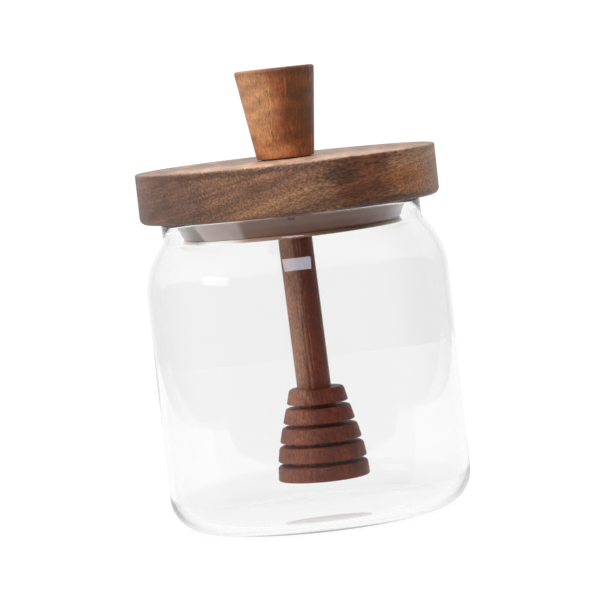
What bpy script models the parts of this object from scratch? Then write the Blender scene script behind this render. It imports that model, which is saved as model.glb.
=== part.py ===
"""Honey jar: a clear glass jar with a round shoulder and a short neck, closed by a
wooden disc lid with a plug and a silicone seal. A tapered wooden knob stands on the
lid, and a turned dipper hangs from the plug into the empty jar.

Metres, +Z up. The jar stands on Z = 0 with its axis on Z, and its front faces -Y.
"""

import math

import bpy

# Gap left between neighbouring solids
GAP = 0.0003

# Steps round the turned pieces, and the distance that joins points on the axis
WIDE_STEPS = 64
NARROW_STEPS = 40
AXIS_MERGE = 0.00001

# Glass jar, outer form
BODY_RADIUS = 0.0475
HEEL_RADIUS = 0.0107
SHOULDER_BOTTOM_Z = 0.0730
SHOULDER_HEIGHT = 0.0180
SHOULDER_DRAW_IN = 0.0068
SHOULDER_POWER = 2.3
SHOULDER_JOIN = 0.968
NECK_RADIUS = BODY_RADIUS - SHOULDER_DRAW_IN

# Glass jar, wall and floor
WALL = 0.0018
FLOOR = 0.0025

# Lid disc and the plug under it
LID_RADIUS = 0.0471
LID_BOTTOM_Z = 0.0975
LID_TOP_Z = 0.1133
LID_TOP_EDGE = 0.0005
LID_BOTTOM_EDGE = 0.0020
PLUG_RADIUS = 0.0328
PLUG_BOTTOM_Z = 0.0905
PLUG_EDGE = 0.0005
SOCKET_DEPTH = 0.0050

# Silicone seal round the plug
SEAL_INNER_RADIUS = PLUG_RADIUS + GAP
SEAL_TOP_RADIUS = 0.0385
SEAL_WAIST_RADIUS = 0.0346
SEAL_WAIST_Z = 0.0920
SEAL_GROOVE_RADIUS = 0.0339
SEAL_GROOVE_Z = 0.0912
SEAL_BEAD_RADIUS = 0.0346
SEAL_BEAD_START = 60.0
SEAL_BOTTOM_Z = 0.0891

# Knob: its foot and top are level, and its sides lean to the left at the top
KNOB_FOOT_RADIUS = 0.0090
KNOB_TOP_RADIUS = 0.01265
KNOB_TOP_Z = 0.1417
KNOB_EDGE = 0.0005
KNOB_EDGE_ANGLE = math.radians(30.0)
KNOB_LEAN = math.radians(1.5)
KNOB_CENTRED_Z = 0.1314

# Dipper's stick, which leans to the left at the top
STICK_RADIUS = 0.00535
STICK_LEAN = math.radians(1.035)
STICK_CENTRED_Z = 0.1198
STICK_END_DEPTH = 0.0020

# Dipper's head: five rings parted by four grooves, sitting a little askew on the stick
HEAD_X = 0.00204
HEAD_LEAN = math.radians(0.9)
HEAD_TOP_Z = 0.0408
HEAD_HEIGHT = 0.0285
HEAD_TOP_RADIUS = 0.0086
HEAD_BOTTOM_RADIUS = 0.0144
HEAD_SWELL = 1.15
RING_COUNT = 5
RING_TOP_ROUND = 0.0011
RING_TOP_END = 20.0
RING_BOTTOM_ROUND = 0.0005
GROOVE_WIDTH = 0.0012
GROOVE_DEPTH = 0.0040

# Steps in the arcs of the sections
COARSE_ARC = 2
FINE_ARC = 4
HEEL_ARC = 6
SHOULDER_ARC = 8


def clear_scene():
    """Remove whatever the scene holds."""
    for old in list(bpy.data.objects):
        bpy.data.objects.remove(old)


def material(name, colour, roughness, alpha=1.0):
    """A plain surface material."""
    made = bpy.data.materials.new(name)
    made.use_nodes = True
    shader = made.node_tree.nodes["Principled BSDF"]
    shader.inputs["Base Color"].default_value = (*colour, 1.0)
    shader.inputs["Roughness"].default_value = roughness
    shader.inputs["Metallic"].default_value = 0.0
    shader.inputs["Alpha"].default_value = alpha
    return made


def arc(centre_r, centre_z, radius, start, end, steps):
    """Points of an arc in the section's plane, with angles in degrees from +R."""
    points = []
    for step in range(steps + 1):
        angle = math.radians(start + (end - start) * step / steps)
        points.append(
            (centre_r + radius * math.cos(angle), centre_z + radius * math.sin(angle))
        )
    return points


def outer_edge(radius, z, rounding, start, end, steps):
    """Rounding at an outer edge, on the section's side that faces down or up."""
    inward = rounding if start > 0.0 else -rounding
    return arc(radius - rounding, z - inward, rounding, start, end, steps)


def turned(name, section, steps, finish):
    """Turn a section of (radius, height) points round Z into a piece."""
    mesh = bpy.data.meshes.new(name)
    vertices = [(radius, 0.0, height) for radius, height in section]
    edges = [(index, index + 1) for index in range(len(section) - 1)]
    mesh.from_pydata(vertices, edges, [])
    mesh.materials.append(finish)
    made = bpy.data.objects.new(name, mesh)
    bpy.context.scene.collection.objects.link(made)
    screw = made.modifiers.new("turn", "SCREW")
    screw.axis = "Z"
    screw.angle = 2.0 * math.pi
    screw.steps = steps
    screw.render_steps = steps
    screw.use_merge_vertices = True
    screw.merge_threshold = AXIS_MERGE
    screw.use_smooth_shade = True
    return made


def shoulder_point(rise):
    """Outer point at a share of the shoulder's height."""
    return (
        BODY_RADIUS - SHOULDER_DRAW_IN * rise**SHOULDER_POWER,
        SHOULDER_BOTTOM_Z + SHOULDER_HEIGHT * rise,
    )


def jar_outer():
    """Outer side of the jar from the neck down to the end of the heel."""
    # A concave fillet takes the straight neck into the shoulder without a corner.
    slope = SHOULDER_DRAW_IN * SHOULDER_POWER / SHOULDER_HEIGHT
    slope *= SHOULDER_JOIN ** (SHOULDER_POWER - 1.0)
    angle = math.atan(slope)
    join_r, join_z = shoulder_point(SHOULDER_JOIN)
    fillet = (join_r - NECK_RADIUS) / (1.0 - math.cos(angle))
    points = arc(
        NECK_RADIUS + fillet,
        join_z + fillet * math.sin(angle),
        fillet,
        180.0,
        180.0 + math.degrees(angle),
        COARSE_ARC,
    )
    for step in range(1, SHOULDER_ARC + 1):
        points.append(shoulder_point(SHOULDER_JOIN * (1.0 - step / SHOULDER_ARC)))
    points += outer_edge(BODY_RADIUS, 0.0, HEEL_RADIUS, 0.0, -90.0, HEEL_ARC)
    return points


def moved_inward(points, distance):
    """The outer side moved in by the wall, square to its own direction."""
    moved = []
    last = len(points) - 1
    for index, (radius, height) in enumerate(points):
        before = points[max(index - 1, 0)]
        after = points[min(index + 1, last)]
        run_r = after[0] - before[0]
        run_z = after[1] - before[1]
        length = math.hypot(run_r, run_z)
        moved.append(
            (radius + distance * run_z / length, height - distance * run_r / length)
        )
    return moved


def jar_section():
    """Whole section, from the middle of the floor over the rim to the base."""
    outer = jar_outer()
    moved = moved_inward(outer, WALL)
    inner = [point for point in moved if point[1] > SHOULDER_BOTTOM_Z - WALL]
    rim_radius = WALL / 2.0
    rim_z = LID_BOTTOM_Z - GAP - rim_radius
    inner_heel = HEEL_RADIUS - WALL
    floor = arc(
        BODY_RADIUS - HEEL_RADIUS,
        FLOOR + inner_heel,
        inner_heel,
        -90.0,
        0.0,
        HEEL_ARC,
    )
    rim = arc(NECK_RADIUS - rim_radius, rim_z, rim_radius, 180.0, 0.0, FINE_ARC)
    return [(0.0, FLOOR), *floor, *reversed(inner), *rim, *outer, (0.0, 0.0)]


def lid_section():
    """Section of the lid disc and of the plug under it."""
    top = outer_edge(LID_RADIUS, LID_TOP_Z, LID_TOP_EDGE, 90.0, 0.0, COARSE_ARC)
    bottom = outer_edge(LID_RADIUS, LID_BOTTOM_Z, LID_BOTTOM_EDGE, 0.0, -90.0, FINE_ARC)
    plug = outer_edge(PLUG_RADIUS, PLUG_BOTTOM_Z, PLUG_EDGE, 0.0, -90.0, COARSE_ARC)
    return [
        (0.0, LID_TOP_Z),
        *top,
        *bottom,
        (PLUG_RADIUS, LID_BOTTOM_Z),
        *plug,
        (0.0, PLUG_BOTTOM_Z),
    ]


def seal_section():
    """Section of the seal: a tapered skirt, a narrow groove and a round bead below."""
    bead_radius = (SEAL_GROOVE_Z - SEAL_BOTTOM_Z) / 2.0
    bead = arc(
        SEAL_BEAD_RADIUS - bead_radius,
        SEAL_BOTTOM_Z + bead_radius,
        bead_radius,
        SEAL_BEAD_START,
        -90.0,
        FINE_ARC,
    )
    top_z = LID_BOTTOM_Z - GAP
    return [
        (SEAL_INNER_RADIUS, top_z),
        (SEAL_TOP_RADIUS, top_z),
        (SEAL_WAIST_RADIUS, SEAL_WAIST_Z),
        (SEAL_GROOVE_RADIUS, SEAL_GROOVE_Z),
        *bead,
        (SEAL_INNER_RADIUS, SEAL_BOTTOM_Z),
        (SEAL_INNER_RADIUS, top_z),
    ]


def knob(finish):
    """The tapered knob: a cone with level ends and leaning sides."""
    foot_z = LID_TOP_Z + GAP
    height = KNOB_TOP_Z - foot_z
    middle_z = foot_z + height / 2.0
    bpy.ops.mesh.primitive_cone_add(
        vertices=NARROW_STEPS,
        radius1=KNOB_FOOT_RADIUS,
        radius2=KNOB_TOP_RADIUS,
        depth=height,
        location=(0.0, 0.0, middle_z),
    )
    made = bpy.context.object
    made.name = "knob"
    for vertex in made.data.vertices:
        above = vertex.co.z + middle_z - KNOB_CENTRED_Z
        vertex.co.x -= above * math.tan(KNOB_LEAN)
    made.data.materials.append(finish)
    edge = made.modifiers.new("edge", "BEVEL")
    edge.width = KNOB_EDGE
    edge.segments = COARSE_ARC
    edge.limit_method = "ANGLE"
    edge.angle_limit = KNOB_EDGE_ANGLE


def head_radius(depth):
    """Radius of the head's full outline, a quarter wave from its top to its bottom."""
    swell = math.sin(math.pi / 2.0 * (depth / HEAD_HEIGHT) ** HEAD_SWELL)
    return HEAD_TOP_RADIUS + (HEAD_BOTTOM_RADIUS - HEAD_TOP_RADIUS) * swell


def head_section():
    """Section of the dipper's head, whose top is at height 0."""
    points = []
    pitch = (HEAD_HEIGHT + GROOVE_WIDTH) / RING_COUNT
    core = 0.0
    for ring in range(RING_COUNT):
        top = ring * pitch
        bottom = top + pitch - GROOVE_WIDTH
        top_radius = head_radius(top + RING_TOP_ROUND)
        bottom_radius = head_radius(bottom - RING_BOTTOM_ROUND)
        points.append((core, -top))
        points += outer_edge(
            top_radius, -top, RING_TOP_ROUND, 90.0, RING_TOP_END, COARSE_ARC
        )
        points += outer_edge(
            bottom_radius, -bottom, RING_BOTTOM_ROUND, 0.0, -90.0, COARSE_ARC
        )
        core = bottom_radius - GROOVE_DEPTH
        if ring == RING_COUNT - 1:
            core = 0.0
        points.append((core, -bottom))
    return points


def round_bar(name, radius, bottom_z, top_z):
    """A hidden bar on the stick's leaning axis."""
    bpy.ops.mesh.primitive_cylinder_add(
        vertices=NARROW_STEPS, radius=radius, depth=top_z - bottom_z
    )
    bar = bpy.context.object
    bar.name = name
    for vertex in bar.data.vertices:
        vertex.co.z += (top_z + bottom_z) / 2.0 - STICK_CENTRED_Z
    bar.location = (0.0, 0.0, STICK_CENTRED_Z)
    bar.rotation_euler = (0.0, -STICK_LEAN, 0.0)
    bar.hide_render = True
    bar.display_type = "WIRE"
    return bar


def combine(piece, operation, helper):
    """Cut a helper out of a piece or join it to the piece."""
    change = piece.modifiers.new(helper.name, "BOOLEAN")
    change.operation = operation
    change.solver = "EXACT"
    change.object = helper


def dipper(finish):
    """The dipper: the head with the stick joined to it."""
    head = turned("dipper", head_section(), NARROW_STEPS, finish)
    head.location = (HEAD_X, 0.0, HEAD_TOP_Z)
    head.rotation_euler = (0.0, HEAD_LEAN, 0.0)
    stick_bottom_z = HEAD_TOP_Z - STICK_END_DEPTH
    stick_top_z = PLUG_BOTTOM_Z + SOCKET_DEPTH - GAP
    stick = round_bar("stick_bar", STICK_RADIUS, stick_bottom_z, stick_top_z)
    stick.data.materials.append(finish)
    combine(head, "UNION", stick)


def main():
    """Build the five pieces."""
    clear_scene()
    glass = material("clear_glass", (0.90, 0.93, 0.92), 0.03, alpha=0.3)
    lid_wood = material("lid_wood", (0.22, 0.105, 0.055), 0.5)
    knob_wood = material("knob_wood", (0.33, 0.15, 0.07), 0.48)
    dipper_wood = material("dipper_wood", (0.14, 0.045, 0.025), 0.5)
    silicone = material("clouded_silicone", (0.42, 0.36, 0.33), 0.25)
    turned("jar_glass", jar_section(), WIDE_STEPS, glass)
    lid = turned("lid", lid_section(), WIDE_STEPS, lid_wood)
    socket_top_z = PLUG_BOTTOM_Z + SOCKET_DEPTH
    socket_bottom_z = PLUG_BOTTOM_Z - SOCKET_DEPTH
    socket = round_bar("socket_bar", STICK_RADIUS + GAP, socket_bottom_z, socket_top_z)
    combine(lid, "DIFFERENCE", socket)
    turned("seal_ring", seal_section(), WIDE_STEPS, silicone)
    knob(knob_wood)
    dipper(dipper_wood)


main()
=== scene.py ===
"""Honey jar, dressed and staged.

A clear glass jar with a turned wooden lid, a clouded silicone seal, a tapered wooden
knob and a turned dipper that hangs inside. Each sub-assembly is a class with its sizes
as fields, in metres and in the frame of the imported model. The jar stands on Z = 0 and
its front faces -Y.
"""

import logging
import math
from dataclasses import dataclass
from enum import Enum
from typing import Any

import bmesh
import bpy
from mathutils import Matrix, Vector


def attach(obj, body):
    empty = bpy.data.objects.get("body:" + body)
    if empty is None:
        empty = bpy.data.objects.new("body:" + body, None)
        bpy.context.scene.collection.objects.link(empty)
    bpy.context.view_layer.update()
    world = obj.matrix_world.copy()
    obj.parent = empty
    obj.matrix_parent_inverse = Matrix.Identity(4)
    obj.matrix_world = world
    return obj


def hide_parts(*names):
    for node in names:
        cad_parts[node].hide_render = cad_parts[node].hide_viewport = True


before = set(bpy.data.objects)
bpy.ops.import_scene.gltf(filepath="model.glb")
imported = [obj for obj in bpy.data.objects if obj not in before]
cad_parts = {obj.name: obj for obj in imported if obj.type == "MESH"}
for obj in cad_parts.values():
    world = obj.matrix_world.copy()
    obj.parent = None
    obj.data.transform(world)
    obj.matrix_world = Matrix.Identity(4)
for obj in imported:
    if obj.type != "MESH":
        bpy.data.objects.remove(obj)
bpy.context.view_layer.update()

log = logging.getLogger("honey_jar")

MM = 0.001
BODY = "root"
WELD = 1e-7

# Range of the noise textures that holds nearly all of their values.
NOISE = (0.3, 0.7)

Point = tuple[float, float]
Place = tuple[float, float, float]
Range = tuple[float, float]
Colour = tuple[float, float, float, float]
# Turns round the jar, each with a brightness or with an sRGB tone.
Levels = tuple[tuple[float, float], ...]
Tones = tuple[tuple[float, str], ...]
Tree = bpy.types.NodeTree
Socket = bpy.types.NodeSocket


class Grain(Enum):
    """How the fibres of a wooden blank run, as turns that lay them along local X."""

    LEVEL = (0.0, math.radians(9.0), math.radians(-35.0))
    UPRIGHT = (0.0, math.radians(90.0), 0.0)


class Slot(Enum):
    """Material slots of the record."""

    GLASS = "clear_glass"
    LID = "lid_wood"
    SEAL = "clouded_silicone"
    KNOB = "knob_wood"
    DIPPER = "dipper_wood"


def linear(colour: str) -> Colour:
    """Turn an sRGB hex colour into a linear one.

    Args:
        colour: Six hex digits with a leading hash.

    Returns:
        Red, green, blue and an alpha of 1, ready for a colour socket.
    """
    shares = [int(colour[at : at + 2], 16) / 255.0 for at in (1, 3, 5)]
    flat = [s / 12.92 if s <= 0.04045 else ((s + 0.055) / 1.055) ** 2.4 for s in shares]
    return (flat[0], flat[1], flat[2], 1.0)


def add_node(
    tree: Tree,
    kind: str,
    settings: dict[str, Any] | None = None,
    inputs: dict[str | int, Any] | None = None,
) -> bpy.types.Node:
    """Add a node with its settings and its inputs.

    Args:
        tree: Node tree to add to.
        kind: Blender's name of the node's class.
        settings: Properties of the node.
        inputs: For each input's name or number, a socket to link or a value to set.

    Returns:
        The new node.
    """
    node = tree.nodes.new(kind)
    for name, value in (settings or {}).items():
        setattr(node, name, value)
    for key, value in (inputs or {}).items():
        if isinstance(value, Socket):
            tree.links.new(value, node.inputs[key])
        else:
            node.inputs[key].default_value = value
    return node


def calc(tree: Tree, operation: str, *values: Socket | float) -> Socket:
    """Add a Math node for the values and give its result."""
    node = add_node(tree, "ShaderNodeMath", {"operation": operation}, dict(enumerate(values)))
    return node.outputs[0]


def vector(tree: Tree, operation: str, *values: Any) -> Socket:
    """Add a Vector Math node for the values and give its result, a vector or a length."""
    node = add_node(tree, "ShaderNodeVectorMath", {"operation": operation}, dict(enumerate(values)))
    return node.outputs["Value" if operation == "LENGTH" else "Vector"]


def blend(
    tree: Tree,
    share: Socket | float,
    first: Socket | float,
    second: Socket | float | Colour,
    kind: str = "RGBA",
) -> Socket:
    """Blend two colours or numbers.

    Args:
        tree: Node tree to add to.
        share: Share of the second one.
        first: What shows where the share is 0.
        second: What shows where the share is 1.
        kind: RGBA for colours, FLOAT for numbers.

    Returns:
        The blend.
    """
    node = add_node(
        tree,
        "ShaderNodeMix",
        {"data_type": kind},
        {"Factor": share, "A": first, "B": second},
    )
    return node.outputs["Result"]


def remap(
    tree: Tree, value: Socket, source: Range, target: Range = (0.0, 1.0), soft: bool = False
) -> Socket:
    """Map a range of values onto another one.

    Args:
        tree: Node tree to add to.
        value: The value.
        source: Its range.
        target: What the ends of that range become.
        soft: Whether the way between them is a smooth step.

    Returns:
        The mapped value.
    """
    node = add_node(
        tree,
        "ShaderNodeMapRange",
        {"interpolation_type": "SMOOTHSTEP" if soft else "LINEAR"},
        {
            "Value": value,
            "From Min": source[0],
            "From Max": source[1],
            "To Min": target[0],
            "To Max": target[1],
        },
    )
    return node.outputs["Result"]


def speckle(
    tree: Tree, place: Socket, size: Place, detail: float, roughness: float = 0.5
) -> Socket:
    """Draw noise in spots.

    Args:
        tree: Node tree to add to.
        place: Coordinates.
        size: Size of a spot along each axis.
        detail: Number of finer layers.
        roughness: Weight of the finer layers.

    Returns:
        The noise, from 0 to 1.
    """
    scaled = vector(tree, "MULTIPLY", place, [1.0 / length for length in size])
    node = add_node(
        tree,
        "ShaderNodeTexNoise",
        inputs={"Vector": scaled, "Scale": 1.0, "Detail": detail, "Roughness": roughness},
    )
    return node.outputs["Fac"]


def scaled_colour(tree: Tree, colour: Socket, share: Socket) -> Socket:
    """Multiply a colour by a number."""
    node = add_node(
        tree, "ShaderNodeVectorMath", {"operation": "SCALE"}, {"Vector": colour, "Scale": share}
    )
    return node.outputs["Vector"]


def way_from(tree: Tree, place: Socket, centre: Place, reach: Place) -> Socket:
    """Measure how far a place is from a centre.

    Args:
        tree: Node tree to add to.
        place: Coordinates.
        centre: The centre.
        reach: Length along each axis that counts as 1.

    Returns:
        The distance, in shares of the reach.
    """
    offset = vector(tree, "SUBTRACT", place, centre)
    shares = vector(tree, "MULTIPLY", offset, [1.0 / length for length in reach])
    return vector(tree, "LENGTH", shares)


def new_material(name: str) -> tuple[bpy.types.Material, Tree, bpy.types.Node]:
    """Make a material with nodes.

    Args:
        name: Its name.

    Returns:
        The material, its nodes and its Principled shader.
    """
    made = bpy.data.materials.new(name)
    made.use_nodes = True
    return made, made.node_tree, made.node_tree.nodes["Principled BSDF"]


def add_bump(tree: Tree, shader: bpy.types.Node, height: Socket, strength: float, depth: float) -> None:
    """Give a shader fine relief.

    Args:
        tree: Its nodes.
        shader: The shader.
        height: Height from 0 to 1.
        strength: Share of the relief that shows.
        depth: Full height of the relief, in metres.
    """
    bump = add_node(
        tree,
        "ShaderNodeBump",
        inputs={"Strength": strength, "Distance": depth, "Height": height},
    )
    tree.links.new(bump.outputs["Normal"], shader.inputs["Normal"])


def fill_ramp(node: bpy.types.Node, stops: list[tuple[float, Colour]]) -> None:
    """Give a colour ramp its stops.

    Args:
        node: The Color Ramp node.
        stops: Positions and colours, in rising order.
    """
    elements = node.color_ramp.elements
    while len(elements) < len(stops):
        elements.new(1.0)
    for element, (position, colour) in zip(elements, stops):
        element.position = position
        element.color = colour


def arc(centre: Point, radius: float, start: float, end: float, steps: int) -> list[Point]:
    """Work out points on an arc of a section.

    Args:
        centre: Centre as (radius, height).
        radius: Radius of the arc.
        start: First angle, in degrees from +R.
        end: Last angle, in degrees from +R.
        steps: Number of spans.

    Returns:
        The points from start to end.
    """
    turns = [math.radians(start + (end - start) * step / steps) for step in range(steps + 1)]
    return [(centre[0] + radius * math.cos(t), centre[1] + radius * math.sin(t)) for t in turns]


def turned(section: list[Point], steps: int) -> bmesh.types.BMesh:
    """Turn a section round Z into a closed body.

    Args:
        section: (radius, height) points, from the axis to the axis or back to the start.
        steps: Spans round the axis.

    Returns:
        The mesh, with its poles merged and its faces outwards.
    """
    mesh = bmesh.new()
    points = [mesh.verts.new((radius, 0.0, height)) for radius, height in section]
    sides = [mesh.edges.new(pair) for pair in zip(points, points[1:])]
    bmesh.ops.spin(
        mesh,
        geom=points + sides,
        cent=(0.0, 0.0, 0.0),
        axis=(0.0, 0.0, 1.0),
        angle=math.tau,
        steps=steps,
        use_merge=True,
    )
    bmesh.ops.remove_doubles(mesh, verts=mesh.verts, dist=WELD)
    bmesh.ops.recalc_face_normals(mesh, faces=mesh.faces)
    return mesh


def round_rings(mesh: bmesh.types.BMesh, rings: list[tuple[Point, float, int]]) -> None:
    """Round the ring-shaped edges of a turned body.

    Args:
        mesh: The turned body.
        rings: For each ring its (radius, height), the rounding's width and its segments.
    """
    for (radius, height), width, segments in rings:
        found = [
            edge
            for edge in mesh.edges
            if all(
                abs(vert.co.z - height) < WELD * 10.0
                and abs(vert.co.xy.length - radius) < WELD * 10.0
                for vert in edge.verts
            )
        ]
        bmesh.ops.bevel(
            mesh,
            geom=found,
            offset=width,
            offset_type="OFFSET",
            segments=segments,
            profile=0.5,
            affect="EDGES",
            clamp_overlap=True,
            material=-1,
        )


def finished(name: str, mesh: bmesh.types.BMesh, sharp: float = 180.0) -> bpy.types.Object:
    """Turn a bmesh into an object that is shaded smooth.

    Args:
        name: Name of the piece.
        mesh: Its mesh, which is freed.
        sharp: Angle in degrees over which an edge stays sharp.

    Returns:
        The object, at the origin.
    """
    data = bpy.data.meshes.new(name)
    mesh.to_mesh(data)
    mesh.free()
    data.shade_smooth()
    data.set_sharp_from_angle(angle=math.radians(sharp))
    made = bpy.data.objects.new(name, data)
    bpy.context.scene.collection.objects.link(made)
    return made


def fit(piece: bpy.types.Object, slot: Slot, *nodes: str) -> None:
    """Let a piece ride on the jar and stand for its solids.

    Args:
        piece: The piece.
        slot: Slot of the record; not used.
        nodes: Solids that the piece replaces.
    """
    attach(piece, BODY)
    if nodes:
        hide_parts(*nodes)
    log.info("%s: %d faces", piece.name, len(piece.data.polygons))


@dataclass(frozen=True)
class Patch:
    """A place in the wood with a tone of its own; some patches hold painted light and shade instead."""

    centre: Place
    reach: Place
    colour: str
    strength: float


@dataclass(frozen=True)
class OiledWood:
    """Turned and sanded hardwood such as acacia, rubbed with oil.

    The eye sees bands of light and dark heartwood, thin lines along the fibres, short
    dark pores and a low sheen. Lengths are in millimetres, and heights on the frame in
    metres.
    """

    name: str
    grain: Grain
    dark: str
    middle: str
    light: str
    pore: str
    pith: Point
    # Shares of the noise at which the dark, middle and light tones stand.
    tone_places: Place = (0.30, 0.52, 0.74)
    ring_width: float = 5.5
    ring_share: float = 0.62
    bend: float = 9.0
    bend_size: Place = (70.0, 24.0, 24.0)
    fibre_length: float = 26.0
    fibre_width: float = 0.8
    # Real pores are 0.1 to 0.2 mm wide and are drawn wider, so that they show.
    pore_length: float = 3.2
    pore_width: float = 0.34
    pore_depth: float = 0.55
    pore_step: Range = (0.60, 0.72)
    # Cut pore ends and rays look like short flecks, drawn two to three times as coarse.
    fleck_length: float = 1.1
    fleck_width: float = 0.42
    fleck: float = 0.30
    # Above this height the face runs along the fibres: there the flecks are long and weaker.
    face_height: float = 1.0
    face_length: float = 14.0
    face_share: float = 0.5
    figure: float = 0.16
    figure_length: float = 7.0
    figure_width: float = 9.0
    # Lines of light and dark wood where the blank cuts through the growth bands.
    slant: float = 0.0
    streak: float = 0.0
    streak_size: Place = (22.0, 30.0, 0.9)
    ior: float = 1.5
    roughness: float = 0.46
    roughness_swing: float = 0.06
    relief: float = 0.35
    relief_depth: float = 0.08
    # Patches have ragged edges, because the thin lines draw them out.
    patch_rag: float = 1.6
    patch_step: Range = (1.2, 2.0)
    # Some patches are painted light and shade rather than tones of the wood.
    patches: tuple[Patch, ...] = ()

    def make(self) -> bpy.types.Material:
        """Build the material.

        Returns:
            The material, on Object coordinates.
        """
        made, tree, shader = new_material(self.name)
        place = add_node(tree, "ShaderNodeTexCoord").outputs["Object"]
        fibres = self._along_fibres(tree, place)
        tone, streaks = self._bands(tree, fibres)
        pore_size = (self.pore_length, self.pore_width, self.pore_width)
        pores = remap(tree, speckle(tree, fibres, pore_size, 1.0), self.pore_step, soft=True)
        ramp = add_node(tree, "ShaderNodeValToRGB", inputs={"Fac": tone})
        tones = (linear(self.dark), linear(self.middle), linear(self.light))
        fill_ramp(ramp, list(zip(self.tone_places, tones)))
        colour = self._patched(tree, place, streaks, ramp.outputs["Color"])
        colour = self._flecked(tree, place, fibres, colour)
        dip = calc(tree, "MULTIPLY", pores, self.pore_depth)
        colour = blend(tree, dip, colour, linear(self.pore))
        tree.links.new(colour, shader.inputs["Base Color"])
        rough = (self.roughness + self.roughness_swing, self.roughness - self.roughness_swing)
        tree.links.new(remap(tree, streaks, NOISE, rough), shader.inputs["Roughness"])
        height = calc(tree, "SUBTRACT", streaks, pores)
        add_bump(tree, shader, height, self.relief, self.relief_depth * MM)
        shader.inputs["IOR"].default_value = self.ior
        return made

    def _turned_place(self, tree: Tree, place: Socket, turns: Place) -> Socket:
        """Turn the coordinates and give them in millimetres."""
        mapped = add_node(
            tree,
            "ShaderNodeMapping",
            inputs={"Vector": place, "Rotation": turns, "Scale": (1.0 / MM, 1.0 / MM, 1.0 / MM)},
        )
        return mapped.outputs["Vector"]

    def _along_fibres(self, tree: Tree, place: Socket) -> Socket:
        """Lay the fibres along local X in millimetres, with slow bends.

        Args:
            tree: The material's nodes.
            place: Object coordinates.

        Returns:
            Coordinates along and across the fibres.
        """
        mapped = self._turned_place(tree, place, self.grain.value)
        slow = vector(tree, "MULTIPLY", mapped, [1.0 / length for length in self.bend_size])
        noise = add_node(
            tree,
            "ShaderNodeTexNoise",
            inputs={"Vector": slow, "Scale": 1.0, "Detail": 2.0},
        )
        centred = vector(tree, "SUBTRACT", noise.outputs["Color"], (0.5, 0.5, 0.5))
        return vector(tree, "MULTIPLY_ADD", centred, (0.0, self.bend, self.bend), mapped)

    def _bands(self, tree: Tree, fibres: Socket) -> tuple[Socket, Socket]:
        """Draw the growth bands and the thin lines along the fibres.

        Args:
            tree: The material's nodes.
            fibres: Coordinates along and across the fibres.

        Returns:
            The tone from 0 to 1, and the thin lines alone.
        """
        to_pith = (0.0, -self.pith[0], -self.pith[1])
        across = vector(tree, "MULTIPLY_ADD", fibres, (0.0, 1.0, 1.0), to_pith)
        rings = calc(tree, "DIVIDE", vector(tree, "LENGTH", across), self.ring_width)
        bands = add_node(
            tree,
            "ShaderNodeTexNoise",
            {"noise_dimensions": "1D"},
            {"W": rings, "Scale": 1.0, "Detail": 4.0, "Roughness": 0.62},
        )
        line = (self.fibre_length, self.fibre_width, self.fibre_width)
        streaks = speckle(tree, fibres, line, 5.0, 0.6)
        return blend(tree, self.ring_share, streaks, bands.outputs["Fac"], "FLOAT"), streaks

    def _shaded(
        self, tree: Tree, place: Socket, colour: Socket, size: Place, strength: float
    ) -> Socket:
        """Lighten and darken the wood in spots or bars.

        Args:
            tree: The material's nodes.
            place: Coordinates in millimetres.
            colour: Colour so far.
            size: Size of a spot along each axis.
            strength: Share by which the colour goes up and down.

        Returns:
            The changed colour.
        """
        noise = speckle(tree, place, size, 2.0)
        shade = remap(tree, noise, NOISE, (1.0 - strength, 1.0 + strength))
        return scaled_colour(tree, colour, shade)

    def _flecked(self, tree: Tree, place: Socket, fibres: Socket, colour: Socket) -> Socket:
        """Draw the slanted lines, the slow figure and the flecks.

        Args:
            tree: The material's nodes.
            place: Object coordinates.
            fibres: Coordinates along and across the fibres.
            colour: Colour so far.

        Returns:
            The changed colour.
        """
        slanted = self._turned_place(tree, place, (0.0, self.slant, 0.0))
        figure_size = (self.figure_length, self.figure_width, self.figure_width)
        colour = self._shaded(tree, slanted, colour, self.streak_size, self.streak)
        colour = self._shaded(tree, fibres, colour, figure_size, self.figure)
        short = (self.fleck_length, self.fleck_width, self.fleck_width)
        long = (self.face_length, self.fleck_width, self.fleck_width)
        ends = self._shaded(tree, fibres, colour, short, self.fleck)
        face = self._shaded(tree, fibres, colour, long, self.face_share * self.fleck)
        parts = add_node(tree, "ShaderNodeSeparateXYZ", inputs={"Vector": place})
        on_face = calc(tree, "GREATER_THAN", parts.outputs["Z"], self.face_height)
        return blend(tree, on_face, ends, face)

    def _patched(self, tree: Tree, place: Socket, streaks: Socket, colour: Socket) -> Socket:
        """Lay the patches of other tone, painted light and painted shade over the wood, drawn out by
        its lines.

        Args:
            tree: The material's nodes.
            place: Object coordinates.
            streaks: Thin lines along the fibres.
            colour: Colour so far.

        Returns:
            The changed colour.
        """
        for patch in self.patches:
            away = way_from(tree, place, patch.centre, patch.reach)
            ragged = calc(tree, "MULTIPLY_ADD", streaks, self.patch_rag, away)
            share = remap(tree, ragged, self.patch_step, (patch.strength, 0.0), soft=True)
            colour = blend(tree, share, colour, linear(patch.colour))
        return colour


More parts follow.
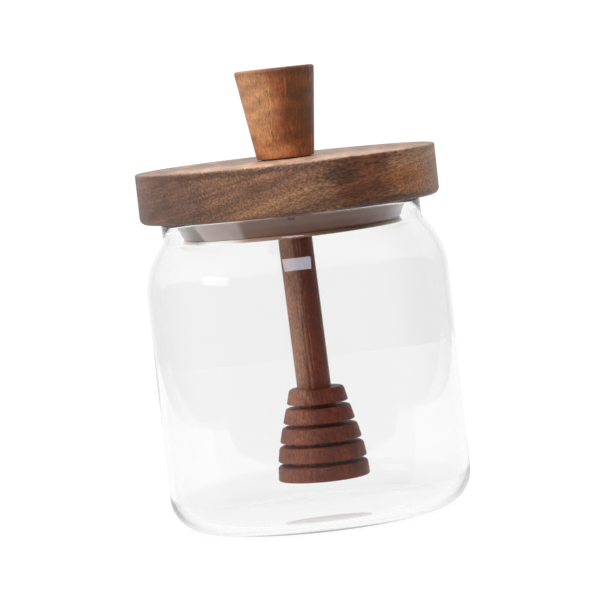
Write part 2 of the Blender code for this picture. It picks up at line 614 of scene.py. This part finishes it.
@dataclass(frozen=True)
class ClearGlass:
    """Blown borosilicate glass with a fire-polished rim.

    The eye sees almost nothing but a faint grey veil, soft bright reflections and
    slightly darker edges.
    """

    name: str = "blown_borosilicate_glass"
    tint: str = "#fcfcfc"
    ior: float = 1.47
    roughness: float = 0.0
    # The blown wall is a little uneven, in millimetres.
    wave_length: float = 38.0
    wave_height: float = 0.2
    wave: float = 0.3

    def make(self) -> bpy.types.Material:
        """Build the material.

        Returns:
            The material, on Object coordinates.
        """
        made, tree, shader = new_material(self.name)
        shader.inputs["Base Color"].default_value = linear(self.tint)
        shader.inputs["Roughness"].default_value = self.roughness
        shader.inputs["IOR"].default_value = self.ior
        shader.inputs["Transmission Weight"].default_value = 1.0
        place = add_node(tree, "ShaderNodeTexCoord").outputs["Object"]
        slow = add_node(
            tree,
            "ShaderNodeTexNoise",
            inputs={"Vector": place, "Scale": 1.0 / (self.wave_length * MM), "Detail": 1.0},
        )
        add_bump(tree, shader, slow.outputs["Fac"], self.wave, self.wave_height * MM)
        return made


@dataclass(frozen=True)
class CloudedSilicone:
    """Moulded translucent silicone rubber.

    The eye sees a cloudy band with a soft gloss, brown where the wood behind shows
    through it and pale grey towards its sides. Its bright sector with sharp borders at
    the front left is a painted reflection of the left light, and the pale sides are
    partly painted reflection too.
    """

    name: str = "moulded_clouded_silicone"
    # Turns from the left over the front and the right to the back, each with its tone. The sharp-edged
    # bright sector from 0.109 to 0.176 is a painted reflection of the left light, and the paler tones
    # towards the sides are partly painted reflection.
    skirt: Tones = (
        (0.000, "#d8cfcb"),
        (0.088, "#967b70"),
        (0.104, "#967b70"),
        (0.109, "#f4dcd6"),
        (0.176, "#f0d8d0"),
        (0.183, "#ae8068"),
        (0.330, "#9a644a"),
        (0.395, "#9e735e"),
        (0.450, "#b5a59c"),
        (1.000, "#d8cfcb"),
    )
    # Tones of the bead: the white from 0.120 to 0.155 is a painted highlight, and the bead is painted
    # lighter on the left and darker towards the right as painted light and shade.
    bead: Tones = (
        (0.000, "#f0eaea"),
        (0.090, "#c8beb6"),
        (0.120, "#ffffff"),
        (0.155, "#ffffff"),
        (0.185, "#b99784"),
        (0.240, "#967765"),
        (0.280, "#765747"),
        (0.350, "#513a2a"),
        (0.410, "#786558"),
        (1.000, "#f0eaea"),
    )
    # Painted shade: a dark line in the groove between the skirt and the bead.
    groove: str = "#4a3a32"
    groove_height: float = 0.0912
    groove_reach: float = 0.00015
    # A small dark moulding mark under the lid's front.
    mark: Place = (0.0, -0.0385, 0.0961)
    mark_reach: Place = (0.0012, 0.005, 0.0005)
    mark_step: Range = (0.6, 1.3)
    mark_colour: str = "#3c1d0d"
    # Painted glow: the bead emits its own tones, which makes its painted highlight bright and lifts the
    # rest of it.
    glow: float = 0.5
    cloud_size: float = 0.005
    cloud: float = 0.14
    ior: float = 1.41
    roughness: float = 0.24
    coat: float = 0.2
    coat_roughness: float = 0.12

    def make(self) -> bpy.types.Material:
        """Build the material.

        Returns:
            The material, on Object coordinates.
        """
        made, tree, shader = new_material(self.name)
        shader.inputs["Roughness"].default_value = self.roughness
        shader.inputs["IOR"].default_value = self.ior
        shader.inputs["Coat Weight"].default_value = self.coat
        shader.inputs["Coat Roughness"].default_value = self.coat_roughness
        place = add_node(tree, "ShaderNodeTexCoord").outputs["Object"]
        height = add_node(tree, "ShaderNodeSeparateXYZ", inputs={"Vector": place}).outputs["Z"]
        above = calc(tree, "GREATER_THAN", height, self.groove_height)
        bead = self._round(tree, place, self.bead)
        banded = blend(tree, above, bead, self._round(tree, place, self.skirt))
        # Painted glow: only the bead, below the groove, emits its tones.
        light = calc(tree, "MULTIPLY_ADD", above, -self.glow, self.glow)
        tree.links.new(light, shader.inputs["Emission Strength"])
        tree.links.new(banded, shader.inputs["Emission Color"])
        # Painted shade along the groove.
        near = calc(tree, "COMPARE", height, self.groove_height, self.groove_reach)
        groove_shaded = blend(tree, near, banded, linear(self.groove))
        away = way_from(tree, place, self.mark, self.mark_reach)
        marked = remap(tree, away, self.mark_step, (1.0, 0.0), soft=True)
        spotted = blend(tree, marked, groove_shaded, linear(self.mark_colour))
        clouds = add_node(
            tree,
            "ShaderNodeTexNoise",
            inputs={"Vector": place, "Scale": 1.0 / self.cloud_size, "Detail": 3.0},
        )
        shades = (1.0 - self.cloud, 1.0 + self.cloud)
        soft = remap(tree, clouds.outputs["Fac"], (0.0, 1.0), shades)
        tree.links.new(scaled_colour(tree, spotted, soft), shader.inputs["Base Color"])
        return made

    def _round(self, tree: Tree, place: Socket, tones: Tones) -> Socket:
        """Lay tones round the ring.

        Args:
            tree: The material's nodes.
            place: Object coordinates.
            tones: Turns, each with its tone.

        Returns:
            The colour.
        """
        turn = add_node(tree, "ShaderNodeTexGradient", {"gradient_type": "RADIAL"}, {"Vector": place})
        ring = add_node(tree, "ShaderNodeValToRGB", inputs={"Fac": turn.outputs["Fac"]})
        fill_ramp(ring, [(share, linear(tone)) for share, tone in tones])
        return ring.outputs["Color"]


@dataclass(frozen=True)
class PaperFloor:
    """Seamless white paper, lit from behind until it hardly takes a shadow."""

    name: str = "white_backing_paper"
    colour: str = "#484848"
    glow: float = 0.96

    def make(self) -> bpy.types.Material:
        """Build the material.

        Returns:
            The material.
        """
        made, _, shader = new_material(self.name)
        shader.inputs["Base Color"].default_value = linear(self.colour)
        shader.inputs["Roughness"].default_value = 1.0
        shader.inputs["Specular IOR Level"].default_value = 0.0
        shader.inputs["Emission Color"].default_value = (1.0, 1.0, 1.0, 1.0)
        shader.inputs["Emission Strength"].default_value = self.glow
        return made


@dataclass
class Jar:
    """The glass body: straight sides, round heel and shoulder, short neck."""

    body_radius: float = 0.0475
    heel_radius: float = 0.0107
    shoulder_bottom: float = 0.0730
    shoulder_height: float = 0.0180
    shoulder_draw_in: float = 0.0068
    shoulder_power: float = 2.3
    shoulder_join: float = 0.968
    wall: float = 0.0018
    floor: float = 0.0025
    rim_top: float = 0.0972
    steps: int = 192
    fillet_steps: int = 6
    shoulder_steps: int = 24
    heel_steps: int = 16
    rim_steps: int = 10
    finish: ClearGlass = ClearGlass()

    def build(self) -> None:
        """Make the shell and put it on the frame."""
        shell = finished("jar_shell", turned(self._section(), self.steps))
        shell.data.materials.append(self.finish.make())
        fit(shell, Slot.GLASS, "jar_glass")

    def _outer(self) -> list[Point]:
        """Work out the outer side from the neck to the end of the heel.

        Returns:
            (radius, height) points.
        """
        slope = self.shoulder_draw_in * self.shoulder_power / self.shoulder_height
        angle = math.atan(slope * self.shoulder_join ** (self.shoulder_power - 1.0))
        join = self._shoulder(self.shoulder_join)
        neck = self.body_radius - self.shoulder_draw_in
        fillet = (join[0] - neck) / (1.0 - math.cos(angle))
        centre = (neck + fillet, join[1] + fillet * math.sin(angle))
        points = arc(centre, fillet, 180.0, 180.0 + math.degrees(angle), self.fillet_steps)
        for step in range(1, self.shoulder_steps + 1):
            points.append(self._shoulder(self.shoulder_join * (1.0 - step / self.shoulder_steps)))
        heel = (self.body_radius - self.heel_radius, self.heel_radius)
        return points + arc(heel, self.heel_radius, 0.0, -90.0, self.heel_steps)

    def _shoulder(self, rise: float) -> Point:
        """Give the outer point at a share of the shoulder's height."""
        return (
            self.body_radius - self.shoulder_draw_in * rise**self.shoulder_power,
            self.shoulder_bottom + self.shoulder_height * rise,
        )

    def _inner(self, outer: list[Point]) -> list[Point]:
        """Move the neck and shoulder in by the wall.

        Args:
            outer: The outer side.

        Returns:
            The inner side from the bottom of the shoulder to the neck.
        """
        moved = []
        for index, (radius, height) in enumerate(outer[:-1]):
            before = outer[max(index - 1, 0)]
            after = outer[index + 1]
            along = Vector((after[0] - before[0], after[1] - before[1])).normalized()
            moved.append((radius + self.wall * along.y, height - self.wall * along.x))
        kept = [point for point in moved if point[1] > self.shoulder_bottom - self.wall]
        return kept[::-1]

    def _section(self) -> list[Point]:
        """Work out the whole section, from the floor's middle to the base's.

        Returns:
            (radius, height) points.
        """
        outer = self._outer()
        inner_heel = self.heel_radius - self.wall
        centre = (self.body_radius - self.heel_radius, self.floor + inner_heel)
        floor = arc(centre, inner_heel, -90.0, 0.0, self.heel_steps - 2)
        neck = self.body_radius - self.shoulder_draw_in
        lip = self.wall / 2.0
        rim = arc((neck - lip, self.rim_top - lip), lip, 180.0, 0.0, self.rim_steps)
        return [(0.0, self.floor), *floor, *self._inner(outer), *rim, *outer, (0.0, 0.0)]


@dataclass
class Lid:
    """The wooden disc, the plug under it and the seal round the plug."""

    radius: float = 0.0471
    bottom: float = 0.0975
    top: float = 0.1133
    top_edge: float = 0.0005
    bottom_edge: float = 0.0020
    plug_radius: float = 0.0328
    plug_bottom: float = 0.0905
    seal_gap: float = 0.0003
    seal_top_radius: float = 0.0385
    seal_waist: Point = (0.0346, 0.0920)
    seal_groove: Point = (0.0339, 0.0912)
    seal_bead_radius: float = 0.0346
    seal_bottom: float = 0.0891
    bead_start: float = 60.0
    steps: int = 192
    top_edge_steps: int = 4
    bottom_edge_steps: int = 6
    plug_edge_steps: int = 3
    bead_steps: int = 12
    sharp: float = 30.0
    wood: OiledWood = OiledWood(
        name="oiled_acacia_plank",
        grain=Grain.LEVEL,
        dark="#613f2d",
        middle="#916548",
        light="#b38558",
        pore="#3c241a",
        pith=(-70.0, -46.0),
        fibre_width=0.6,
        pore_depth=0.75,
        fleck_length=1.6,
        fleck=0.5,
        face_height=0.1132,
        slant=math.radians(13.0),
        streak=0.24,
        patches=(
            # Partly painted sheen: the left end is greyer, where the left light gleams on it.
            Patch((-0.0420, -0.020, 0.1050), (0.0300, 0.050, 0.0200), "#66473b", 0.75),
            Patch((0.0240, -0.042, 0.1055), (0.0130, 0.020, 0.0200), "#5e2e14", 0.80),
            # Partly painted sheen: the right end is lighter and greyer.
            Patch((0.0440, -0.015, 0.1055), (0.0110, 0.022, 0.0200), "#98704f", 0.80),
            Patch((0.0375, -0.029, 0.1045), (0.0095, 0.020, 0.0050), "#9e5d2b", 0.80),
            Patch((0.0160, -0.045, 0.1085), (0.0060, 0.012, 0.0040), "#4a3022", 0.65),
            Patch((0.0300, -0.036, 0.0986), (0.0200, 0.030, 0.0014), "#522a10", 0.75),
            Patch((-0.0180, -0.045, 0.1117), (0.0320, 0.030, 0.0010), "#553a2e", 0.70),
            # Painted light: the whole top face is lighter, as if lit from above, with its sheen.
            Patch((0.0000, 0.000, 0.1135), (0.1200, 0.120, 0.0009), "#c49a80", 0.26),
            # Painted highlight: a bright strip on the top in front of the knob, where the front light
            # catches it.
            Patch((0.0000, -0.028, 0.1135), (0.0500, 0.030, 0.0007), "#e0b89c", 0.60),
        ),
    )
    silicone: CloudedSilicone = CloudedSilicone()

    def build(self) -> None:
        """Make the disc with its plug, and the seal."""
        disc = self._disc()
        disc.data.materials.append(self.wood.make())
        fit(disc, Slot.LID, "lid")
        seal = self._seal()
        seal.data.materials.append(self.silicone.make())
        fit(seal, Slot.SEAL, "seal_ring")

    def _disc(self) -> bpy.types.Object:
        """Turn the disc and the plug in one piece.

        Returns:
            The piece.
        """
        section = [
            (0.0, self.top),
            (self.radius, self.top),
            (self.radius, self.bottom),
            (self.plug_radius, self.bottom),
            (self.plug_radius, self.plug_bottom),
            (0.0, self.plug_bottom),
        ]
        mesh = turned(section, self.steps)
        round_rings(
            mesh,
            [
                ((self.radius, self.top), self.top_edge, self.top_edge_steps),
                ((self.radius, self.bottom), self.bottom_edge, self.bottom_edge_steps),
                ((self.plug_radius, self.plug_bottom), self.top_edge, self.plug_edge_steps),
            ],
        )
        return finished("lid_disc", mesh, self.sharp)

    def _seal(self) -> bpy.types.Object:
        """Turn the seal: a tapered skirt, a groove and a round bead.

        Returns:
            The piece.
        """
        inner = self.plug_radius + self.seal_gap
        top = self.bottom - self.seal_gap
        bead = (self.seal_groove[1] - self.seal_bottom) / 2.0
        middle = (self.seal_bead_radius - bead, self.seal_bottom + bead)
        section = [
            (inner, top),
            (self.seal_top_radius, top),
            self.seal_waist,
            self.seal_groove,
            *arc(middle, bead, self.bead_start, -90.0, self.bead_steps),
            (inner, self.seal_bottom),
            (inner, top),
        ]
        return finished("seal_ring_soft", turned(section, self.steps), self.sharp)


@dataclass
class Knob:
    """The tapered knob: level ends and sides that lean a little to the left."""

    foot_radius: float = 0.0090
    foot: float = 0.1136
    top_radius: float = 0.01265
    top: float = 0.1417
    lean: float = math.radians(1.5)
    centred: float = 0.1314
    foot_edge: float = 0.0005
    top_edge: float = 0.0010
    steps: int = 128
    foot_edge_steps: int = 3
    top_edge_steps: int = 5
    sharp: float = 30.0
    wood: OiledWood = OiledWood(
        name="oiled_acacia_knob",
        grain=Grain.UPRIGHT,
        dark="#783b1f",
        middle="#9d542b",
        light="#b97140",
        pore="#54301d",
        pith=(-34.0, 8.0),
        ring_width=7.0,
        ring_share=0.5,
        fibre_width=0.6,
        fleck=0.20,
        figure=0.30,
        figure_length=3.0,
        patches=(
            # Painted light: the knob's left side is lighter and paler, as if lit by the left light.
            Patch((-0.0085, -0.0080, 0.1290), (0.0090, 0.012, 0.0200), "#cc9664", 0.85),
            Patch((-0.0035, -0.0090, 0.1160), (0.0090, 0.008, 0.0030), "#d08a55", 0.7),
            Patch((0.0050, -0.0100, 0.1405), (0.0130, 0.008, 0.0008), "#6b4531", 0.6),
            # Painted shade: the knob's right side is darker.
            Patch((0.0078, -0.0090, 0.1290), (0.0078, 0.012, 0.0240), "#5e340f", 0.85),
        ),
    )

    def build(self) -> None:
        """Make the knob."""
        height = self.top - self.foot
        mesh = bmesh.new()
        bmesh.ops.create_cone(
            mesh,
            cap_ends=True,
            segments=self.steps,
            radius1=self.foot_radius,
            radius2=self.top_radius,
            depth=height,
        )
        middle = self.foot + height / 2.0
        bmesh.ops.translate(mesh, verts=mesh.verts, vec=(0.0, 0.0, middle))
        round_rings(
            mesh,
            [
                ((self.top_radius, self.top), self.top_edge, self.top_edge_steps),
                ((self.foot_radius, self.foot), self.foot_edge, self.foot_edge_steps),
            ],
        )
        shear = Matrix.Identity(4)
        shear[0][2] = -math.tan(self.lean)
        shear[0][3] = self.centred * math.tan(self.lean)
        bmesh.ops.transform(mesh, matrix=shear, verts=mesh.verts)
        knob = finished("knob_turned", mesh, self.sharp)
        knob.data.materials.append(self.wood.make())
        fit(knob, Slot.KNOB, "knob")


@dataclass
class Dipper:
    """The dipper: a leaning stick, and a ringed head that sits a little askew on it."""

    stick_radius: float = 0.00535
    stick_top: float = 0.0952
    stick_end: float = 0.0388
    stick_lean: float = math.radians(1.035)
    stick_centred: float = 0.1198
    head_place: Point = (0.00204, 0.0408)
    head_lean: float = math.radians(0.9)
    head_height: float = 0.0285
    head_top_radius: float = 0.0086
    head_bottom_radius: float = 0.0144
    head_swell: float = 1.15
    rings: int = 5
    ring_top_round: float = 0.0011
    ring_bottom_round: float = 0.0005
    groove_width: float = 0.0012
    groove_depth: float = 0.0040
    # Steepness in degrees at which a ring's rounded top meets its straight side.
    ring_side: float = 20.0
    steps: int = 128
    ring_top_steps: int = 8
    ring_bottom_steps: int = 6
    sharp: float = 35.0
    wood: OiledWood = OiledWood(
        name="oiled_red_hardwood",
        grain=Grain.UPRIGHT,
        dark="#622512",
        middle="#7c310f",
        light="#985030",
        pore="#3a1a12",
        pith=(-22.0, 6.0),
        ring_width=4.0,
        ring_share=0.5,
        fibre_width=0.7,
        figure=0.12,
        figure_length=8.0,
        patches=(
            # Painted light: the stick's left side is lighter, as if lit from the left.
            Patch((-0.0045, -0.0040, 0.0650), (0.0060, 0.008, 0.0600), "#d6a084", 0.75),
            # Painted light: the head's left front is lighter, as if lit from the left.
            Patch((-0.0080, -0.0100, 0.0260), (0.0110, 0.012, 0.0200), "#b46c52", 0.65),
        ),
    )

    def build(self) -> None:
        """Make the stick and the head in one piece."""
        mesh = self._head()
        stick = self._stick()
        joined = bpy.data.meshes.new("stick")
        stick.to_mesh(joined)
        stick.free()
        mesh.from_mesh(joined)
        bpy.data.meshes.remove(joined)
        dipper = finished("dipper_turned", mesh, self.sharp)
        dipper.data.materials.append(self.wood.make())
        fit(dipper, Slot.DIPPER, "dipper")

    def _stick(self) -> bmesh.types.BMesh:
        """Make the leaning stick.

        Returns:
            The stick, down to its end inside the head.
        """
        mesh = bmesh.new()
        bmesh.ops.create_cone(
            mesh,
            cap_ends=True,
            segments=self.steps,
            radius1=self.stick_radius,
            radius2=self.stick_radius,
            depth=self.stick_top - self.stick_end,
        )
        middle = (self.stick_top + self.stick_end) / 2.0
        bmesh.ops.translate(mesh, verts=mesh.verts, vec=(0.0, 0.0, middle))
        bmesh.ops.rotate(
            mesh,
            verts=mesh.verts,
            cent=(0.0, 0.0, self.stick_centred),
            matrix=Matrix.Rotation(-self.stick_lean, 3, "Y"),
        )
        return mesh

    def _head_radius(self, depth: float) -> float:
        """Give the radius of the head's full outline, a quarter wave from top to bottom."""
        swell = math.sin(math.pi / 2.0 * (depth / self.head_height) ** self.head_swell)
        return self.head_top_radius + (self.head_bottom_radius - self.head_top_radius) * swell

    def _head(self) -> bmesh.types.BMesh:
        """Turn the ringed head and set it on the stick.

        Returns:
            The head.
        """
        section = []
        pitch = (self.head_height + self.groove_width) / self.rings
        core = 0.0
        for ring in range(self.rings):
            top = ring * pitch
            bottom = top + pitch - self.groove_width
            upper = self._head_radius(top + self.ring_top_round)
            lower = self._head_radius(bottom - self.ring_bottom_round)
            shoulder = (upper - self.ring_top_round, -top - self.ring_top_round)
            foot = (lower - self.ring_bottom_round, -bottom + self.ring_bottom_round)
            section.append((core, -top))
            section += arc(shoulder, self.ring_top_round, 90.0, self.ring_side, self.ring_top_steps)
            section += arc(foot, self.ring_bottom_round, 0.0, -90.0, self.ring_bottom_steps)
            core = 0.0 if ring == self.rings - 1 else lower - self.groove_depth
            section.append((core, -bottom))
        mesh = turned(section, self.steps)
        place = Matrix.Translation((self.head_place[0], 0.0, self.head_place[1]))
        lean = Matrix.Rotation(self.head_lean, 4, "Y")
        bmesh.ops.transform(mesh, matrix=place @ lean, verts=mesh.verts)
        return mesh


@dataclass(frozen=True)
class Softbox:
    """One soft light that faces the jar, with lengths in metres."""

    name: str
    # Turn from the front to the left, and rise over the level, in radians.
    turn: float
    rise: float
    distance: float
    size: Point
    # Brightness of its face, where white paper in full light is 1.
    level: float
    shift: float = 0.0
    colour: str = "#ffffff"
    seen_through_glass: bool = False
    aim: Place = (0.0, 0.0, 0.08)

    def hang(self) -> None:
        """Hang the light. It shows in gloss, and the camera doesn't see it directly."""
        lamp = bpy.data.lights.new(self.name, "AREA")
        lamp.shape = "RECTANGLE"
        lamp.size, lamp.size_y = self.size
        lamp.energy = self.level * math.pi * self.size[0] * self.size[1]
        lamp.color = linear(self.colour)[:3]
        level = self.distance * math.cos(self.rise)
        aim = Vector(self.aim)
        spot = Vector(
            (
                self.shift - level * math.sin(self.turn),
                -level * math.cos(self.turn),
                aim.z + self.distance * math.sin(self.rise),
            )
        )
        made = bpy.data.objects.new(self.name, lamp)
        made.location = spot
        made.rotation_euler = (aim - spot).to_track_quat("-Z", "Y").to_euler()
        made.visible_camera = False
        made.visible_transmission = self.seen_through_glass
        bpy.context.scene.collection.objects.link(made)


@dataclass
class Studio:
    """The paper floor, the soft lights and the camera."""

    focal_pixels: float = 3554.0
    frame_pixels: float = 600.0
    sensor: float = 36.0
    distance: float = 1.1152
    pitch: float = math.radians(4.28)
    look_height: float = 0.0686
    roll: float = math.radians(-6.3)
    clip: Range = (0.05, 60.0)
    floor_half: float = 0.30
    floor_front: float = 0.055
    floor_drop: float = 0.0003
    white: float = 1.04
    # Brightness by direction, as turns from the left over the front, the right and the back.
    lighting: Levels = (
        (0.000, 1.05),
        (0.083, 1.05),
        (0.167, 0.60),
        (0.250, 0.30),
        (0.333, 0.20),
        (0.417, 0.20),
        (0.500, 0.30),
        (0.560, 1.04),
        (0.940, 1.04),
        (1.000, 1.05),
    )
    mirrored: Levels = (
        (0.000, 0.50),
        (0.083, 0.28),
        (0.167, 0.13),
        (0.250, 0.05),
        (0.417, 0.06),
        (0.500, 0.20),
        (0.583, 0.48),
        (0.667, 0.78),
        (0.750, 1.00),
        (0.833, 0.82),
        (0.917, 0.58),
        (1.000, 0.50),
    )
    # What shows straight through the glass: the white backdrop, a little darker on the right.
    behind: Levels = (
        (0.000, 1.04),
        (0.712, 1.04),
        (0.729, 0.99),
        (0.7365, 0.95),
        (0.7435, 1.03),
        (1.000, 1.04),
    )
    top_light: float = 1.8
    top_mirrored: float = 0.08
    bottom_mirrored: float = 0.82
    # Steepness, as the direction's Z, between which the world turns to its top and bottom.
    top_step: Range = (0.45, 0.90)
    bottom_step: Range = (-0.13, -0.25)
    # Light that is caught in the thick heel needs many turns before it leaves.
    bounces: int = 128
    softboxes: tuple[Softbox, ...] = (
        Softbox(
            name="softbox_left",
            turn=math.radians(68.0),
            rise=math.radians(19.5),
            distance=1.2,
            size=(0.50, 0.22),
            level=1.3,
            seen_through_glass=True,
        ),
        Softbox(
            name="softbox_above",
            turn=0.0,
            rise=math.radians(39.0),
            distance=1.5,
            size=(0.50, 0.50),
            level=11.0,
            shift=0.02,
            colour="#e4edff",
        ),
    )

    def build(self) -> None:
        """Set up floor, light and camera."""
        self._floor()
        self._world()
        for softbox in self.softboxes:
            softbox.hang()
        self._camera()
        paths = bpy.context.scene.cycles
        paths.max_bounces = self.bounces
        paths.glossy_bounces = self.bounces
        paths.transmission_bounces = self.bounces
        settings = bpy.context.scene.view_settings
        settings.view_transform = "Standard"
        settings.look = "None"

    def _floor(self) -> None:
        """Lay the paper."""
        mesh = bmesh.new()
        bmesh.ops.create_grid(mesh, x_segments=1, y_segments=1, size=self.floor_half)
        back = self.floor_half - self.floor_front
        bmesh.ops.translate(mesh, verts=mesh.verts, vec=(0.0, back, -self.floor_drop))
        floor = finished("floor", mesh)
        floor.data.materials.append(PaperFloor().make())
        floor.visible_diffuse = False
        floor.visible_glossy = False

    def _world(self) -> None:
        """Surround the jar with a white studio whose light comes from the left.

        Mirrored rays see a dimmer studio with a dark front, so that the glass stays
        clear. What is seen straight through the glass stays white.
        """
        world = bpy.data.worlds.new("white_studio")
        bpy.context.scene.world = world
        world.use_nodes = True
        tree = world.node_tree
        way = add_node(tree, "ShaderNodeTexCoord").outputs["Generated"]
        path = add_node(tree, "ShaderNodeLightPath").outputs
        lit = self._around(tree, way, self.lighting, self.top_light)
        above = self._around(tree, way, self.mirrored, self.top_mirrored)
        behind = self._around(tree, way, self.behind, self.white)
        parts = add_node(tree, "ShaderNodeSeparateXYZ", inputs={"Vector": way})
        below = remap(tree, parts.outputs["Z"], self.bottom_step, soft=True)
        mirrored = blend(tree, below, above, self.bottom_mirrored, "FLOAT")
        straight = calc(tree, "LESS_THAN", path["Glossy Depth"], 0.5)
        shown = blend(tree, straight, mirrored, behind, "FLOAT")
        glassy = calc(tree, "MAXIMUM", path["Is Glossy Ray"], path["Is Transmission Ray"])
        direct = calc(tree, "LESS_THAN", path["Diffuse Depth"], 0.5)
        gloss = blend(tree, calc(tree, "MULTIPLY", glassy, direct), lit, shown, "FLOAT")
        strength = blend(tree, path["Is Camera Ray"], gloss, self.white, "FLOAT")
        tree.links.new(strength, tree.nodes["Background"].inputs["Strength"])
        tree.nodes["Background"].inputs["Color"].default_value = (1.0, 1.0, 1.0, 1.0)

    def _around(
        self, tree: Tree, way: Socket, levels: Levels, top: float
    ) -> Socket:
        """Give the world's brightness by direction.

        Args:
            tree: The world's nodes.
            way: Direction.
            levels: Brightness by turns round the jar.
            top: Brightness straight above.

        Returns:
            The brightness.
        """
        turn = add_node(tree, "ShaderNodeTexGradient", {"gradient_type": "RADIAL"}, {"Vector": way})
        ramp = add_node(tree, "ShaderNodeValToRGB", inputs={"Fac": turn.outputs["Fac"]})
        fill_ramp(ramp, [(share, (level, level, level, 1.0)) for share, level in levels])
        parts = add_node(tree, "ShaderNodeSeparateXYZ", inputs={"Vector": way})
        rise = remap(tree, parts.outputs["Z"], self.top_step, soft=True)
        return blend(tree, rise, ramp.outputs["Color"], top, "FLOAT")

    def _camera(self) -> None:
        """Set the camera level with the shoulder, looking down a little, with its roll."""
        lens = bpy.data.cameras.new("camera")
        lens.sensor_width = self.sensor
        lens.lens = self.focal_pixels / self.frame_pixels * self.sensor
        lens.clip_start, lens.clip_end = self.clip
        camera = bpy.data.objects.new("camera", lens)
        level = self.distance * math.cos(self.pitch)
        rise = self.distance * math.sin(self.pitch)
        tilt = Matrix.Rotation(math.pi / 2.0 - self.pitch, 4, "X")
        spin = Matrix.Rotation(self.roll, 4, "Z")
        place = Matrix.Translation((0.0, -level, self.look_height + rise))
        camera.matrix_world = place @ tilt @ spin
        bpy.context.scene.collection.objects.link(camera)
        bpy.context.scene.camera = camera


def main() -> None:
    """Build the jar's pieces in order, then the studio."""
    logging.basicConfig(level=logging.INFO, format="%(name)s: %(message)s")
    for assembly in (Jar(), Lid(), Knob(), Dipper()):
        log.info("building %s", type(assembly).__name__)
        assembly.build()
    Studio().build()


if __name__ == "__main__":
    main()
